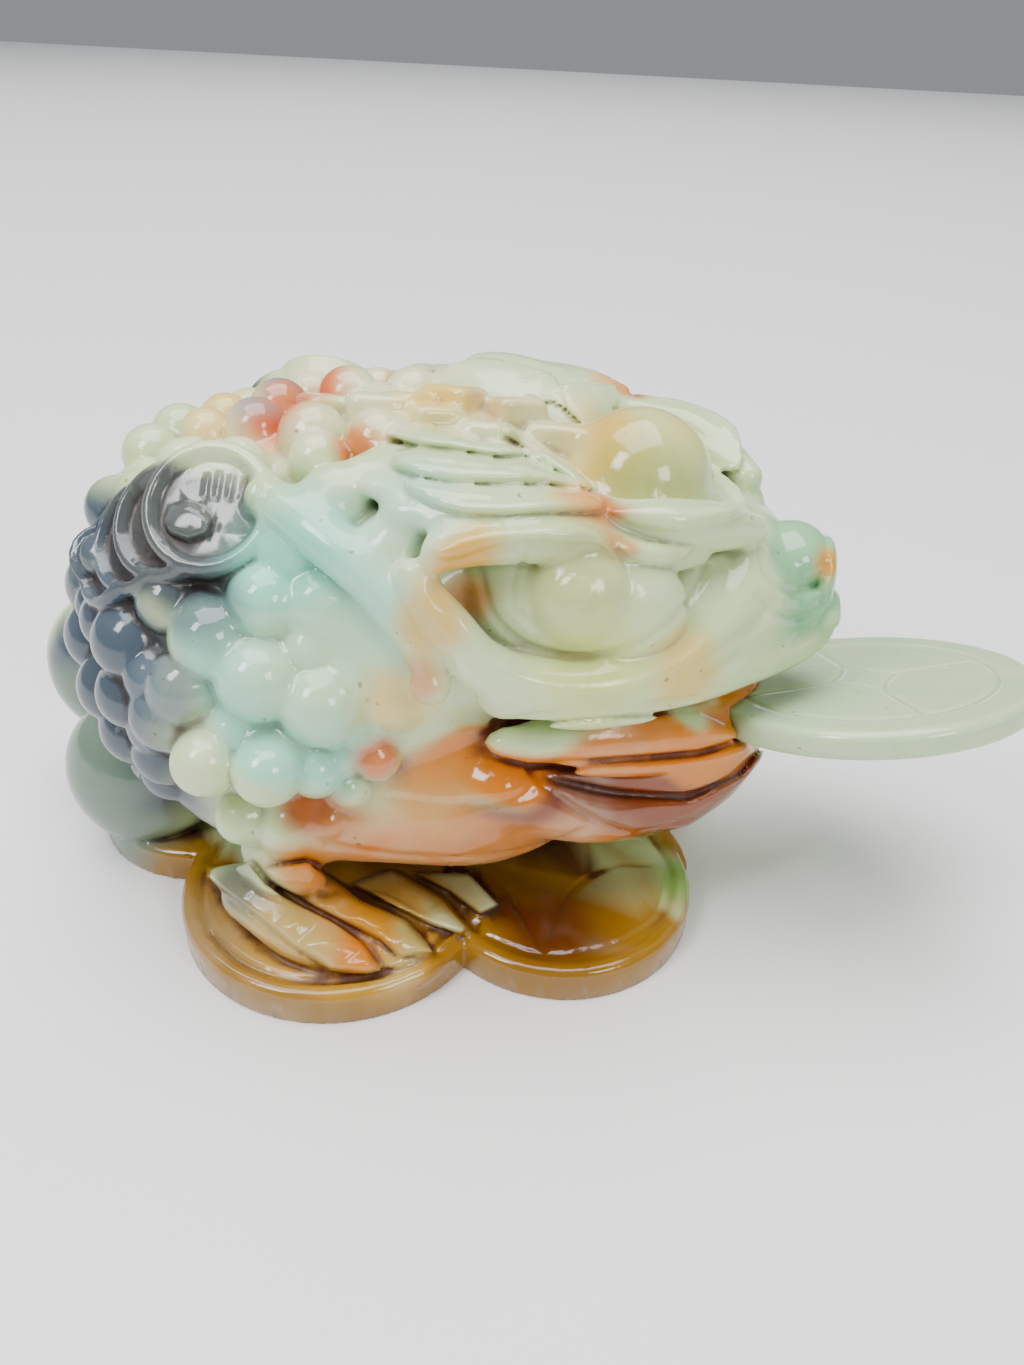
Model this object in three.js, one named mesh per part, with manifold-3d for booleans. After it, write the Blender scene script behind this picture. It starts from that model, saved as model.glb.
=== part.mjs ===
// Money toad figurine: a toad on a bed of coins, carved from one stone, with a loose stone coin in its mouth.
// Millimetres, +Z up. The toad faces -Y, its left side is +X, and the origin is the middle of its flat underside.
// Features that come in pairs are written for the left side and mirrored.
import * as THREE from "three";
import { mergeVertices } from "three/addons/utils/BufferGeometryUtils.js";
import Module from "manifold-3d";

// The bed of coins that the toad sits on
const BED = { height: 6, bevel: 2, sides: 18 };
const BED_PANEL = { inset: 3.4, depth: 0.6 };
const FRONT_COIN = { at: [17, -32], radius: 22.2 };
const SIDE_COIN = { at: [25.3, 3.6], radius: 25.4 };
const REAR_COIN = { at: [6, 33], radius: 20.2 };
const BED_CORE = { at: [0, -2], half: [20, 44] };

// The masses of the body
const BODY = { at: [0, 10.5, 41.5], radii: [39.6, 38.5, 34.5] };
const CHEST = { at: [0, -14, 27], radii: [35, 27, 21] };
const NECK = { at: [0, -8, 54], radii: [36, 26, 25] };

// Rows of warts on each flank by height. Each wart has an angle round the body, from 0 at the side
// to 90 at the rump, and a radius.
const WART_SINK = 0.3;
const FLANK_WARTS = [
  { height: 64.5, warts: [[-10, 5.4], [6, 4.4]] },
  { height: 59, warts: [[-18, 5.2], [-4, 5.4], [22, 5]] },
  { height: 52.5, warts: [[9, 6], [36, 5.8]] },
  { height: 47, warts: [[-31, 5], [-16, 5.8], [-2.6, 5.8], [20, 5.6]] },
  { height: 39, warts: [[-24, 4], [-7, 5.8], [9, 6], [34, 6]] },
  { height: 29, warts: [[4, 5.2], [21, 5.4]] },
];
// Staggered rows of equal warts between two angles round the rump
const RUMP_WARTS = { heights: [62, 52, 42], from: 51, to: 90, step: 18, radius: 6.2 };
const BACK_WARTS = [
  { at: [10.5, -1, 76], radius: 4.8 },
  { at: [9, 9, 75.5], radius: 5.2 },
  { at: [4.8, 19, 74], radius: 5.2 },
  { at: [12, 28, 69], radius: 5.2 },
];

// The masses of the head
const SKULL = { at: [0, -26, 54], radii: [31, 36, 18] };
const SNOUT = { at: [0, -46, 55], radii: [19, 22, 14] };
const JAW = { at: [0, -36, 31], radii: [25, 27, 17] };
const DOME = { at: [0, -39, 71], radius: 11 };
const EYE = { at: [24, -31.5, 62.5], radius: 8.6, look: [0.88, -0.07, 0.47] };
const PUPIL = { radius: 2.6, width: 1.2, depth: 0.5, outward: 8.2 };
const SOCKET = { at: [34, -30, 64], radii: [10, 15, 8] };
const MOUTH = { at: [0, -62, 42.5], radii: [18, 12, 3] };

// The coins strung on each side of the back
const STRUNG_COINS = [
  { at: [25, 16, 68.5], face: [0.75, -0.05, 0.66], radius: 9.2 },
  { at: [25, 27.5, 62], face: [0.68, 0.48, 0.56], radius: 8 },
];
const STRUNG_THICKNESS = 3.4;

// The loose coin, which leans in the mouth
const COIN = { at: [0, -77, 38.2], radius: 25.6, thickness: 4.4, edge: 1.6, sides: 24 };
const COIN_LEAN = [0.265, 0.206, 1];
const COIN_RING = { radius: 19.6, width: 1.4, depth: 0.6 };
const COIN_LOZENGE = { reach: 7.4, waist: 5.4, turn: 0.3 };
const COIN_GROOVE = { width: 1.2, depth: 0.6 };
const MOUTH_GAP = 0.35;

// The stone of each piece
const TOAD_STONE = { color: 0xb7c8a8, roughness: 0.28, metalness: 0 };
const COIN_STONE = { color: 0xcfdcc4, roughness: 0.25, metalness: 0 };

const wasm = await Module();
wasm.setup();

// A closed three.js geometry as a solid that can be joined and cut
function solid(geometry) {
  const bare = geometry.clone();
  bare.deleteAttribute("normal");
  bare.deleteAttribute("uv");
  const merged = mergeVertices(bare, 1e-4);
  return new wasm.Manifold(
    new wasm.Mesh({
      numProp: 3,
      vertProperties: merged.attributes.position.array,
      triVerts: new Uint32Array(merged.index.array),
    }),
  );
}

const join = (pieces) => pieces.reduce((sum, piece) => sum.add(piece));
const cut = (from, pieces) => pieces.reduce((rest, piece) => rest.subtract(piece), from);

// The same pieces on both sides: make(s) gives a list, where s takes a point to the right or the left side
const paired = (make) => [-1, 1].flatMap((side) => make(([x, y, z = 0]) => [x * side, y, z]));

// A geometry made at the origin, turned so that one direction of it faces another, and moved to its place
function placed(geometry, at, facing, front = [0, 0, 1]) {
  const [from, to] = [front, facing].map((direction) => new THREE.Vector3(...direction).normalize());
  return geometry.applyQuaternion(new THREE.Quaternion().setFromUnitVectors(from, to)).translate(...at);
}

// A small wart or bead cut in flats, the middle of one of them facing out
function bead(at, radius, out) {
  return solid(placed(new THREE.IcosahedronGeometry(radius, 0), at, out, [1, 1, 1]));
}

// An ellipsoid with its poles along Z
function ball(at, radii, around = 8, rings = 6) {
  const [rx, ry, rz] = typeof radii === "number" ? [radii, radii, radii] : radii;
  const sphere = new THREE.SphereGeometry(1, around, rings).rotateX(Math.PI / 2);
  return solid(sphere.scale(rx, ry, rz).translate(...at));
}

// A round-ended lobe swept along a smooth path. The radii are spread evenly over its length,
// and flat scales its section upwards.
function lobe(path, radii, { flat = 1, around = 6, along = 6 } = {}) {
  const curve = new THREE.CatmullRomCurve3(path.map((p) => new THREE.Vector3(...p)));
  const geometry = new THREE.SphereGeometry(1, around, along);
  const position = geometry.attributes.position;
  const upward = new THREE.Vector3(0, 0, 1);
  for (let i = 0; i < position.count; i++) {
    const unit = new THREE.Vector3().fromBufferAttribute(position, i);
    const t = Math.acos(THREE.MathUtils.clamp(-unit.y, -1, 1)) / Math.PI;
    const step = t * (radii.length - 1);
    const below = Math.min(Math.floor(step), radii.length - 2);
    const swell = Math.sqrt(Math.max(Math.sin(Math.PI * t), 0));
    const radius = THREE.MathUtils.lerp(radii[below], radii[below + 1], step - below) * swell;
    const spoke = Math.hypot(unit.x, unit.z) || 1;
    const tangent = curve.getTangent(t);
    const across = tangent.clone().cross(upward).normalize();
    const out = across.clone().cross(tangent);
    const point = curve.getPoint(t);
    const isPole = Math.abs(unit.y) > 1 - 1e-6;
    if (!isPole) {
      point.addScaledVector(across, (unit.x / spoke) * radius);
      point.addScaledVector(out, (unit.z / spoke) * radius * flat);
    }
    position.setXYZ(i, point.x, point.y, point.z);
  }
  return solid(geometry);
}

// A solid turned about Z from [radius, height] pairs that start and end on the axis or close on themselves
function turned(profile, sides) {
  const points = profile.map(([r, z]) => new THREE.Vector2(r, z));
  return new THREE.LatheGeometry(points, sides).rotateX(Math.PI / 2);
}

// How far the cutter of a groove stands over the face that it cuts
const CUTTER_TOP = 0.3;

// The cutter of a V-shaped ring groove in a face at z = 0
function ringCutter({ radius, width, depth }, sides) {
  const profile = [
    [radius - width / 2, CUTTER_TOP],
    [radius, -depth],
    [radius + width / 2, CUTTER_TOP],
    [radius - width / 2, CUTTER_TOP],
  ];
  return turned(profile, sides);
}

// The cutter of a straight V-shaped groove between two points of a face at z = 0
function grooveCutter([x0, y0], [x1, y1]) {
  const { width, depth } = COIN_GROOVE;
  const section = new THREE.Shape([
    new THREE.Vector2(0, -depth),
    new THREE.Vector2(width / 2, CUTTER_TOP),
    new THREE.Vector2(-width / 2, CUTTER_TOP),
  ]);
  const length = Math.hypot(x1 - x0, y1 - y0);
  const bar = new THREE.ExtrudeGeometry(section, { depth: length, bevelEnabled: false });
  const heading = Math.atan2(y1 - y0, x1 - x0);
  return bar.rotateX(Math.PI / 2).rotateZ(heading + Math.PI / 2).translate(x0, y0, 0);
}

// The bed of overlapping coins, one slab with a scalloped edge and sunk panels
function coinBed() {
  const { height, bevel, sides } = BED;
  const plate = (radius) => [
    [0, 0],
    [radius, 0],
    [radius, height - bevel],
    [radius - bevel, height],
    [0, height],
  ];
  const core = new THREE.Shape();
  core.absellipse(...BED_CORE.at, ...BED_CORE.half, 0, 2 * Math.PI);
  const slab = new THREE.ExtrudeGeometry(core, { depth: height, bevelEnabled: false, curveSegments: 6 });
  const coins = [FRONT_COIN, SIDE_COIN, REAR_COIN];
  const plates = paired((s) => coins.map(({ at, radius }) => solid(turned(plate(radius), sides).translate(...s(at)))));
  const panel = (radius) => [
    [0, height - BED_PANEL.depth],
    [radius - BED_PANEL.inset, height - BED_PANEL.depth],
    [radius - BED_PANEL.inset, height + CUTTER_TOP],
    [0, height + CUTTER_TOP],
  ];
  const panels = paired((s) =>
    [FRONT_COIN, SIDE_COIN].map(({ at, radius }) => solid(turned(panel(radius), sides).translate(...s(at)))),
  );
  return cut(join([solid(slab), ...plates]), panels);
}

// The point of the body's surface at a height and an angle round it
function onBody(height, angle) {
  const { at, radii } = BODY;
  const slice = Math.sqrt(1 - ((height - at[2]) / radii[2]) ** 2);
  const a = THREE.MathUtils.degToRad(angle);
  return [at[0] + radii[0] * slice * Math.cos(a), at[1] + radii[1] * slice * Math.sin(a), height];
}

// The rows of warts round the rump
function rumpRows() {
  const { heights, from, to, step, radius } = RUMP_WARTS;
  return heights.map((height, row) => {
    const warts = [];
    for (let angle = from + (row % 2) * (step / 2); angle < to; angle += step) warts.push([angle, radius]);
    return { height, warts };
  });
}

// The warts on both flanks, the rump and the back
function warts() {
  const middle = new THREE.Vector3(...BODY.at);
  const onFlanks = [...FLANK_WARTS, ...rumpRows()].flatMap(({ height, warts: row }) =>
    row.map(([angle, radius]) => {
      const surface = new THREE.Vector3(...onBody(height, angle));
      const at = surface.lerp(middle, (WART_SINK * radius) / surface.distanceTo(middle)).toArray();
      return { at, radius };
    }),
  );
  const away = (at) => at.map((value, axis) => value - BODY.at[axis]);
  return paired((s) => [...onFlanks, ...BACK_WARTS].map(({ at, radius }) => bead(s(at), radius, s(away(at)))));
}

// The coins curled on each side of the back, their cord down to the shoulder and the beads beside it
function coinStrings() {
  const cord = [[25, 10, 72], [29.5, 2, 70], [33, -6, 66], [35.5, -11.5, 61], [37, -14.5, 56]];
  const beads = [
    [[37.5, -14.5, 54.5], 2.6],
    [[29, -8.5, 70], 4.2],
    [[23.5, 1, 73], 4.8],
  ];
  const dished = (radius) => [
    [0, 0],
    [radius, 0],
    [0.9 * radius, STRUNG_THICKNESS],
    [0.7 * radius, STRUNG_THICKNESS],
    [0, 0.5 * STRUNG_THICKNESS],
  ];
  return paired((s) => [
    ...STRUNG_COINS.map(({ at, face, radius }) => solid(placed(turned(dished(radius), 10), s(at), s(face)))),
    lobe(cord.map(s), [3, 3.4, 3.4, 3, 2.2]),
    ...beads.map(([at, radius]) => bead(s(at), radius, s([1, -0.3, 0.6]))),
  ]);
}

// The scalloped crest along the spine
function crest() {
  const blocks = [
    { at: [0, 1, 76.5], radii: [8, 6, 4.5] },
    { at: [3.5, -10, 78], radii: [5, 6, 4.6] },
    { at: [-3.5, -9, 77], radii: [4.4, 5, 4.2] },
    { at: [-4.5, -16, 75.5], radii: [4.2, 4.4, 3.8] },
    { at: [3.5, -19.5, 77], radii: [4.2, 5, 3.8] },
    { at: [1, -27, 74], radii: [4.6, 5, 4.4] },
  ];
  return blocks.map(({ at, radii }) => solid(new THREE.IcosahedronGeometry(1, 0).scale(...radii).translate(...at)));
}

// The brow over each eye: a lobe in front and locks that sweep back from it
function brows() {
  const front = [[21.5, -34, 72.5], [20, -41, 72], [17, -47, 71], [10, -54, 68]];
  const locks = [
    { path: [[22.5, -32, 73], [26, -26, 72.5], [28.5, -19, 73], [29.5, -10, 74.5]], radii: [2, 3.4, 3.4, 1.6] },
    { path: [[21, -30, 74], [24, -22, 74.5], [26, -13, 75.5], [26, -6, 76]], radii: [2, 3.4, 3.4, 1.6] },
    { path: [[17.5, -28, 74.5], [19.5, -20, 75.5], [21, -11, 76.5], [21.5, -4, 77]], radii: [2, 3.4, 3.6, 1.6] },
  ];
  return paired((s) => [
    lobe(front.map(s), [2.6, 3.6, 3.4, 2.4]),
    ...locks.map(({ path, radii }) => lobe(path.map(s), radii, { flat: 0.8, along: 4 })),
  ]);
}

// The rims round each eye
function lids() {
  const upper = [[34, -15, 71], [31.5, -21, 72.5], [28.5, -28, 72.5], [25, -36.5, 69.5], [21.5, -42.4, 68], [17, -47, 67]];
  const lower = [
    [34.5, -12, 68],
    [36, -17, 62.5],
    [35.5, -21, 57],
    [33.5, -27, 53.5],
    [30, -36.4, 52.5],
    [23.5, -46, 54],
    [15.5, -53, 59.5],
    [10, -54.5, 64.5],
  ];
  return paired((s) => [
    lobe(upper.map(s), [2, 2.6, 2.4, 1.8], { along: 5 }),
    lobe(lower.map(s), [2.2, 3.8, 4.2, 3.8, 2.6], { along: 7 }),
  ]);
}

// The eyeballs, each with a ring engraved round its pupil
function eyes() {
  return paired((s) => {
    const look = new THREE.Vector3(...s(EYE.look)).normalize();
    const middle = new THREE.Vector3(...s(EYE.at)).addScaledVector(look, PUPIL.outward);
    const ring = solid(placed(ringCutter(PUPIL, 6), middle.toArray(), look.toArray()));
    return [ball(s(EYE.at), EYE.radius, 10, 7).subtract(ring)];
  });
}

// The nose: a bridge, a round tip, a nostril wing on each side and a thin flange in front
function nose() {
  const bridge = lobe([[0, -44, 64], [0, -54, 62], [0, -63, 57]], [7, 7, 5], { flat: 0.8 });
  const tip = ball([0, -61.5, 57.5], [6, 6, 6.5]);
  const flange = ball([0, -66, 57], [6, 2.4, 6.5]);
  return [bridge, tip, flange, ...paired((s) => [ball(s([7, -57.5, 57]), [4.6, 5.4, 5], 8, 5)])];
}

// A lobe that runs from the right side round the front to the left. The path is its left half, front last.
function roundFront(path, radii, along) {
  const [right, left] = [-1, 1].map((side) => path.map(([x, y, z]) => [x * side, y, z]));
  return lobe([...right, ...left.slice(0, -1).reverse()], [...radii, ...radii.slice(0, -1).reverse()], { along });
}

// The upper lip, which overhangs the mouth, and under it the lower lip and the throat
function lips() {
  const upper = [[34, -24, 52.5], [28.5, -36.5, 51.5], [21, -48, 50.5], [15, -54.5, 50], [7, -62.5, 49.5], [0, -66.5, 49.5]];
  const lower = [[31.5, -23, 42], [28, -31.5, 41.5], [22.5, -42, 40], [16, -50, 37.5], [9, -56, 34], [0, -59, 32.5]];
  const throat = [[29, -23, 32], [22, -36, 26], [13, -48, 23.5], [0, -55, 24.5]];
  return [
    roundFront(upper, [3.8, 4.6, 4.2, 3.6], 13),
    roundFront(lower, [3.8, 5, 4.8, 4.4], 11),
    roundFront(throat, [5, 6.4, 6, 5.4], 9),
  ];
}

// The forelegs with four toes each on the bed, the hind legs and the short tail
function legs() {
  const arm = [[33, 2, 33], [36, 9, 25], [35, 13, 16]];
  const toes = [
    [[34, 19, 9], [39, 8, 8], [43, -2, 6.5], [46, -9, 5]],
    [[33, 13, 9], [36.5, 2, 8], [40, -8, 6.5], [42, -16, 5]],
    [[31, 5, 9], [32.5, -5, 8], [35, -13, 6.5], [37.4, -20.8, 5]],
    [[27, -6, 8], [29.5, -15, 6.5], [30.2, -22, 5]],
  ];
  const tail = ball([0, 52.5, 25], [10, 13, 14], 7, 5);
  return [
    tail,
    ...paired((s) => [
      lobe(arm.map(s), [8, 7, 6], { along: 5 }),
      ...toes.map((toe) => lobe(toe.map(s), [3.6, 3.6, 3.2, 2], { flat: 1.6, around: 5, along: 4 })),
      ball(s([16, 41, 15]), [11, 13, 14], 7, 5),
    ]),
  ];
}

// The blank of the loose coin, or with a margin the slot that it lies in
function coinBlank(margin) {
  const { radius, thickness, edge, sides } = COIN;
  const r = radius + margin;
  const h = thickness / 2 + margin;
  const profile = [
    [0, -h],
    [r - edge, -h],
    [r, -h + edge],
    [r, h - edge],
    [r - edge, h],
    [0, h],
  ];
  return turned(profile, sides);
}

// The engraving of the loose coin's upper face: a ring, a four-pointed middle and a spoke from each point
function coinEngraving() {
  const corners = [0, 1, 2, 3].map((quarter) => {
    const angle = COIN_LOZENGE.turn + (quarter * Math.PI) / 2;
    const reach = quarter % 2 === 0 ? COIN_LOZENGE.reach : COIN_LOZENGE.waist;
    return { angle, point: [reach * Math.cos(angle), reach * Math.sin(angle)] };
  });
  const lines = corners.flatMap(({ angle, point }, i) => {
    const end = [COIN_RING.radius * Math.cos(angle), COIN_RING.radius * Math.sin(angle)];
    return [
      grooveCutter(point, corners[(i + 1) % 4].point),
      grooveCutter(point, end),
    ];
  });
  return [ringCutter(COIN_RING, COIN.sides), ...lines].map((cutter) => cutter.translate(0, 0, COIN.thickness / 2));
}

// The loose coin
function mouthCoin() {
  const inMouth = (geometry) => solid(placed(geometry, COIN.at, COIN_LEAN));
  return cut(inMouth(coinBlank(0)), coinEngraving().map(inMouth));
}

// The toad with its coin bed, one stone
function toad() {
  const masses = [BODY, CHEST, NECK, SKULL, SNOUT].map(({ at, radii }) => ball(at, radii, 12, 7));
  const sockets = paired((s) => [ball(s(SOCKET.at), SOCKET.radii, 7, 5)]);
  const head = [cut(join(masses), sockets), ball(JAW.at, JAW.radii, 10, 6), ball(DOME.at, DOME.radius, 10, 7)];
  const features = [...lids(), ...brows(), ...eyes(), ...nose(), ...lips(), ...crest()];
  const blank = join([...head, ...features, ...coinStrings(), ...warts(), ...legs(), coinBed()]);
  const slot = solid(placed(coinBlank(MOUTH_GAP), COIN.at, COIN_LEAN));
  return cut(blank, [ball(MOUTH.at, MOUTH.radii), slot]);
}

// A solid as a named mesh of its stone
function piece(name, body, material) {
  const { numProp, vertProperties, triVerts } = body.getMesh();
  const corners = new Float32Array(triVerts.length * 3);
  triVerts.forEach((vertex, i) => {
    corners.set(vertProperties.subarray(vertex * numProp, vertex * numProp + 3), i * 3);
  });
  const geometry = new THREE.BufferGeometry().setAttribute("position", new THREE.BufferAttribute(corners, 3));
  geometry.computeVertexNormals();
  const mesh = new THREE.Mesh(geometry, new THREE.MeshStandardMaterial(material));
  mesh.name = name;
  return mesh;
}

const figurine = new THREE.Group();
figurine.add(piece("toad", toad(), TOAD_STONE), piece("mouth_coin", mouthCoin(), COIN_STONE));

export default figurine;
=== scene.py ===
import math

import bpy
import numpy as np
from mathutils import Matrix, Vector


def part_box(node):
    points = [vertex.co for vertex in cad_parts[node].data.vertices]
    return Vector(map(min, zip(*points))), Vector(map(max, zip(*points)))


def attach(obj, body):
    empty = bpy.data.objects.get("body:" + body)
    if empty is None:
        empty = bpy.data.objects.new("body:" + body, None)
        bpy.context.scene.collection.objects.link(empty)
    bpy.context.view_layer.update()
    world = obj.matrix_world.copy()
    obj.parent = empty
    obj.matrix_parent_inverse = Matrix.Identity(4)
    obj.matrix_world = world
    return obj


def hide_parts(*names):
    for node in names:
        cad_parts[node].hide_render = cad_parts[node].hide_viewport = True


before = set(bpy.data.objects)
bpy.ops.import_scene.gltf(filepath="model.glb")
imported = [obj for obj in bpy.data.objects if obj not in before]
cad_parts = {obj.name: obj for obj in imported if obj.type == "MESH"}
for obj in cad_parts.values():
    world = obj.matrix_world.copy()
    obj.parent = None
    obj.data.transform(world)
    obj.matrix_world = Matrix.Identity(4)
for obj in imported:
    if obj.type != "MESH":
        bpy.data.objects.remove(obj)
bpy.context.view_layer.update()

import openvdb
from mathutils import Matrix, Vector

# Shapes are written in millimetres of the frame: +Z up, the toad faces -Y, its left side is +X.
MM = 0.001

# The camera that took the photograph, in millimetres, and the photograph's frame in pixels
CAMERA_AT = np.array([-145.16, -40.6, 127.0])
CAMERA_FORWARD = np.array([0.8296, 0.1166, -0.5461])
CAMERA_ROLL = math.radians(2.7)
FOCAL_PIXELS = 1028
FRAME_WIDTH, FRAME_HEIGHT = 1024, 1365

# The grids that the stones are carved on, and the most triangles that each keeps
TOAD_PITCH, COIN_PITCH, QUICK_PITCH = 0.42, 0.36, 0.8
TOAD_TRIANGLES, COIN_TRIANGLES = 196_000, 90_000
FAR = 4.0

# The masses of the body
BODY = {"at": (0, 10.5, 41.5), "radii": (39.0, 37.0, 33.6)}
CHEST = {"at": (0, -14, 27), "radii": (35, 27, 21)}
NECK = {"at": (0, -8, 54), "radii": (35, 26, 24)}
FLANK = {"at": (20, 4, 26), "radii": (19, 30, 12)}

# The masses of the head
SKULL = {"at": (0, -26, 54), "radii": (31, 36, 18)}
SNOUT = {"at": (0, -45, 54.5), "radii": (20, 20.5, 13.2)}
JAW = {"at": (0, -36, 31), "radii": (25, 27, 17)}
DOME = {"at": (0, -37.6, 69.4), "radius": 11}
EYE = {"at": (26.0, -32, 64), "radius": 7.6, "look": (0.88, -0.07, 0.47)}
EYE_WHITE = {"at": (23.5, -30, 61.5), "radii": (8.4, 16.5, 10)}
SOCKET = {"at": (34, -30, 64), "radii": (10, 15, 8)}
MOUTH = {"at": (0, -62, 42.5), "radii": (18, 12, 3)}

# Rows of warts on each flank by height. Each wart has an angle round the body, from 0 at the side to 90
# at the rump, and a radius.
WART_SHELL = {"at": (0, 10.5, 41.5), "radii": (37.6, 35.6, 33.0)}
FLANK_WARTS = {
    65.2: [(-9.6, 5.3), (6, 4.4)],
    63.0: [(7, 2.7), (-19, 2.6)],
    60.0: [(-3.2, 4.8), (-26.7, 2.2), (-17.3, 4.7)],
    57.6: [(23.9, 4.4), (4, 2.4), (13, 3.0)],
    54.8: [(43, 4.4), (-29.2, 2.9), (9.8, 5.2), (-13.8, 2.9)],
    50.8: [(33.2, 5.6), (-23.4, 4.0), (-2.6, 5.4), (45, 4.6)],
    47.6: [(15.3, 5.0), (-16.4, 5.4), (-31.9, 4.5), (24, 4.4)],
    42.8: [(20.2, 5.4), (-25.3, 2.7), (3, 4.2), (33, 5.2)],
    39.4: [(46.3, 5.4), (-6.5, 5.2), (8.8, 5.4), (-19.4, 3.2), (25, 4.4)],
    34.6: [(37.8, 5.4), (25, 5.0)],
    28.4: [(36.6, 4.6), (30, 4.8)],
}
# Warts of the lower flank, with their middles in the photograph's pixels and their radii in millimetres
LOW_WARTS = [((268, 771), 4.9), ((206, 762), 4.8), ((188, 812), 4.4), ((244, 816), 4.2), ((287, 827), 3.8)]
LOW_WARTS += [((225, 848), 3.4), ((200, 846), 3.2), ((348, 787), 3.2), ((377, 757), 3.4), ((316, 770), 4.0)]
LOW_WARTS += [((262, 846), 3.0), ((330, 820), 2.4)]
RUMP_WARTS = {"heights": (64, 57, 50, 43, 36, 29.5), "start": 56, "stop": 97, "step": 10.5, "radius": 5.5}
BACK_WARTS = [
    ((10.5, -1, 75.5), 4.8),
    ((9, 9, 75), 5.0),
    ((4.8, 19, 73.6), 4.8),
    ((12, 27, 69), 5.0),
    ((15.5, 6, 74), 4.2),
    ((16, 17.5, 72), 4.4),
    ((19, -4, 74), 3.6),
    ((3.6, 27.5, 71.5), 4.2),
    ((5, 36, 68), 4.8),
    ((15.5, 37, 63.5), 5.0),
    ((24, 36, 60), 4.6),
]

# The coins strung on each side of the back, the cord from them to the shoulder and the beads beside it
STRUNG_COINS = [
    {"at": (25, 32.0, 60.5), "face": (0.60, 0.62, 0.56), "radius": 7.8},
    {"at": (25.2, 28.0, 63.8), "face": (0.66, 0.46, 0.58), "radius": 8.4},
    {"at": (25.2, 23.4, 66.8), "face": (0.71, 0.28, 0.62), "radius": 8.8},
    {"at": (25, 17.6, 69.2), "face": (0.75, 0.02, 0.66), "radius": 9.4},
]
STRUNG_THICKNESS = 3.4
CORD = [(25, 10, 72), (29.5, 2, 70), (33, -6, 66), (35.5, -11.5, 61), (37, -14.5, 56)]
CORD_BEADS = [((37.2, -14.8, 54), 2.7, 0.3), ((28.4, -8, 68.6), 4.6, 2.5), ((23.5, 1, 72), 5.0, 2.5)]

# The bed of coins that the toad sits on
BED = {"height": 6.0, "bevel": 1.5, "core": (20, 44), "core_at": (0, -2)}
BED_COINS = [((17, -32), 22.2), ((25.3, 3.6), 25.4), ((6, 33), 20.2)]
BED_RING = {"inset": 3.2, "width": 0.9, "depth": 0.8}

# The loose coin in the mouth
COIN = {"at": (0, -77, 38.2), "radius": 25.5, "thickness": 4.4, "round": 1.5, "lean": (0.265, 0.206, 1)}
COIN_RING = {"radius": 19.6, "width": 0.8, "depth": 0.45}
COIN_LOZENGE = {"reach": 7.4, "waist": 5.4, "turn": 0.3}
MOUTH_GAP = 0.35


def srgb(red, green, blue):
    """A colour from 0 to 255 in sRGB as linear values."""
    scaled = [value / 255 for value in (red, green, blue)]
    return tuple(v / 12.92 if v <= 0.04045 else ((v + 0.055) / 1.055) ** 2.4 for v in scaled)


def mirrored(point, side):
    """A point of the left side on the side that is +1 for left and -1 for right."""
    return (point[0] * side, point[1], point[2])


def unit(vector):
    vector = np.asarray(vector, float)
    return vector / np.linalg.norm(vector)


def curve(points, spacing):
    """A smooth curve through points, as points about spacing apart, and how far along it each one is from 0 to 1."""
    points = np.asarray(points, float)
    ends = np.vstack([2 * points[0] - points[1], points, 2 * points[-1] - points[-2]])
    made = []
    for i in range(len(points) - 1):
        before, start, stop, after = ends[i : i + 4]
        steps = max(int(math.ceil(np.linalg.norm(stop - start) / spacing)), 1)
        t = (np.arange(steps) / steps)[:, None]
        slope_in, slope_out = (stop - before) / 2, (after - start) / 2
        made.append(
            (2 * t**3 - 3 * t**2 + 1) * start
            + (t**3 - 2 * t**2 + t) * slope_in
            + (3 * t**2 - 2 * t**3) * stop
            + (t**3 - t**2) * slope_out
        )
    made = np.vstack(made + [points[-1:]])
    length = np.concatenate([[0], np.cumsum(np.linalg.norm(np.diff(made, axis=0), axis=1))])
    return made, length / length[-1]


def camera_axes():
    """The photograph's directions to the right, up and forward."""
    forward = unit(CAMERA_FORWARD)
    level = unit(np.cross(forward, (0, 0, 1)))
    upright = np.cross(level, forward)
    cos, sin = math.cos(CAMERA_ROLL), math.sin(CAMERA_ROLL)
    return cos * level + sin * upright, cos * upright - sin * level, forward


def sight(pixels):
    """The directions in which the camera sees these pixels of the photograph."""
    right, up, forward = camera_axes()
    pixels = np.asarray(pixels, float)
    across = (pixels[:, 0] - FRAME_WIDTH / 2) / FOCAL_PIXELS
    above = (FRAME_HEIGHT / 2 - pixels[:, 1]) / FOCAL_PIXELS
    rays = forward + across[:, None] * right + above[:, None] * up
    return rays / np.linalg.norm(rays, axis=1)[:, None]


def smooth_min(a, b, k):
    if k <= 0:
        return np.minimum(a, b)
    overlap = np.maximum(k - np.abs(a - b), 0) / k
    return np.minimum(a, b) - overlap * overlap * k * 0.25


def largest_shell(points, quads):
    """The points and faces of the largest connected surface, without the specks that thin carving leaves beside it."""
    quads = quads.astype(int)
    shell = np.arange(len(points))
    while True:
        joined = shell.copy()
        np.minimum.at(joined, quads.ravel(), np.repeat(shell[quads].min(axis=1), 4))
        joined = joined[joined]
        if np.array_equal(joined, shell):
            break
        shell = joined
    names, sizes = np.unique(shell, return_counts=True)
    kept = shell == names[sizes.argmax()]
    number = np.cumsum(kept) - 1
    return points[kept], number[quads[kept[quads[:, 0]]]]


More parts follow.
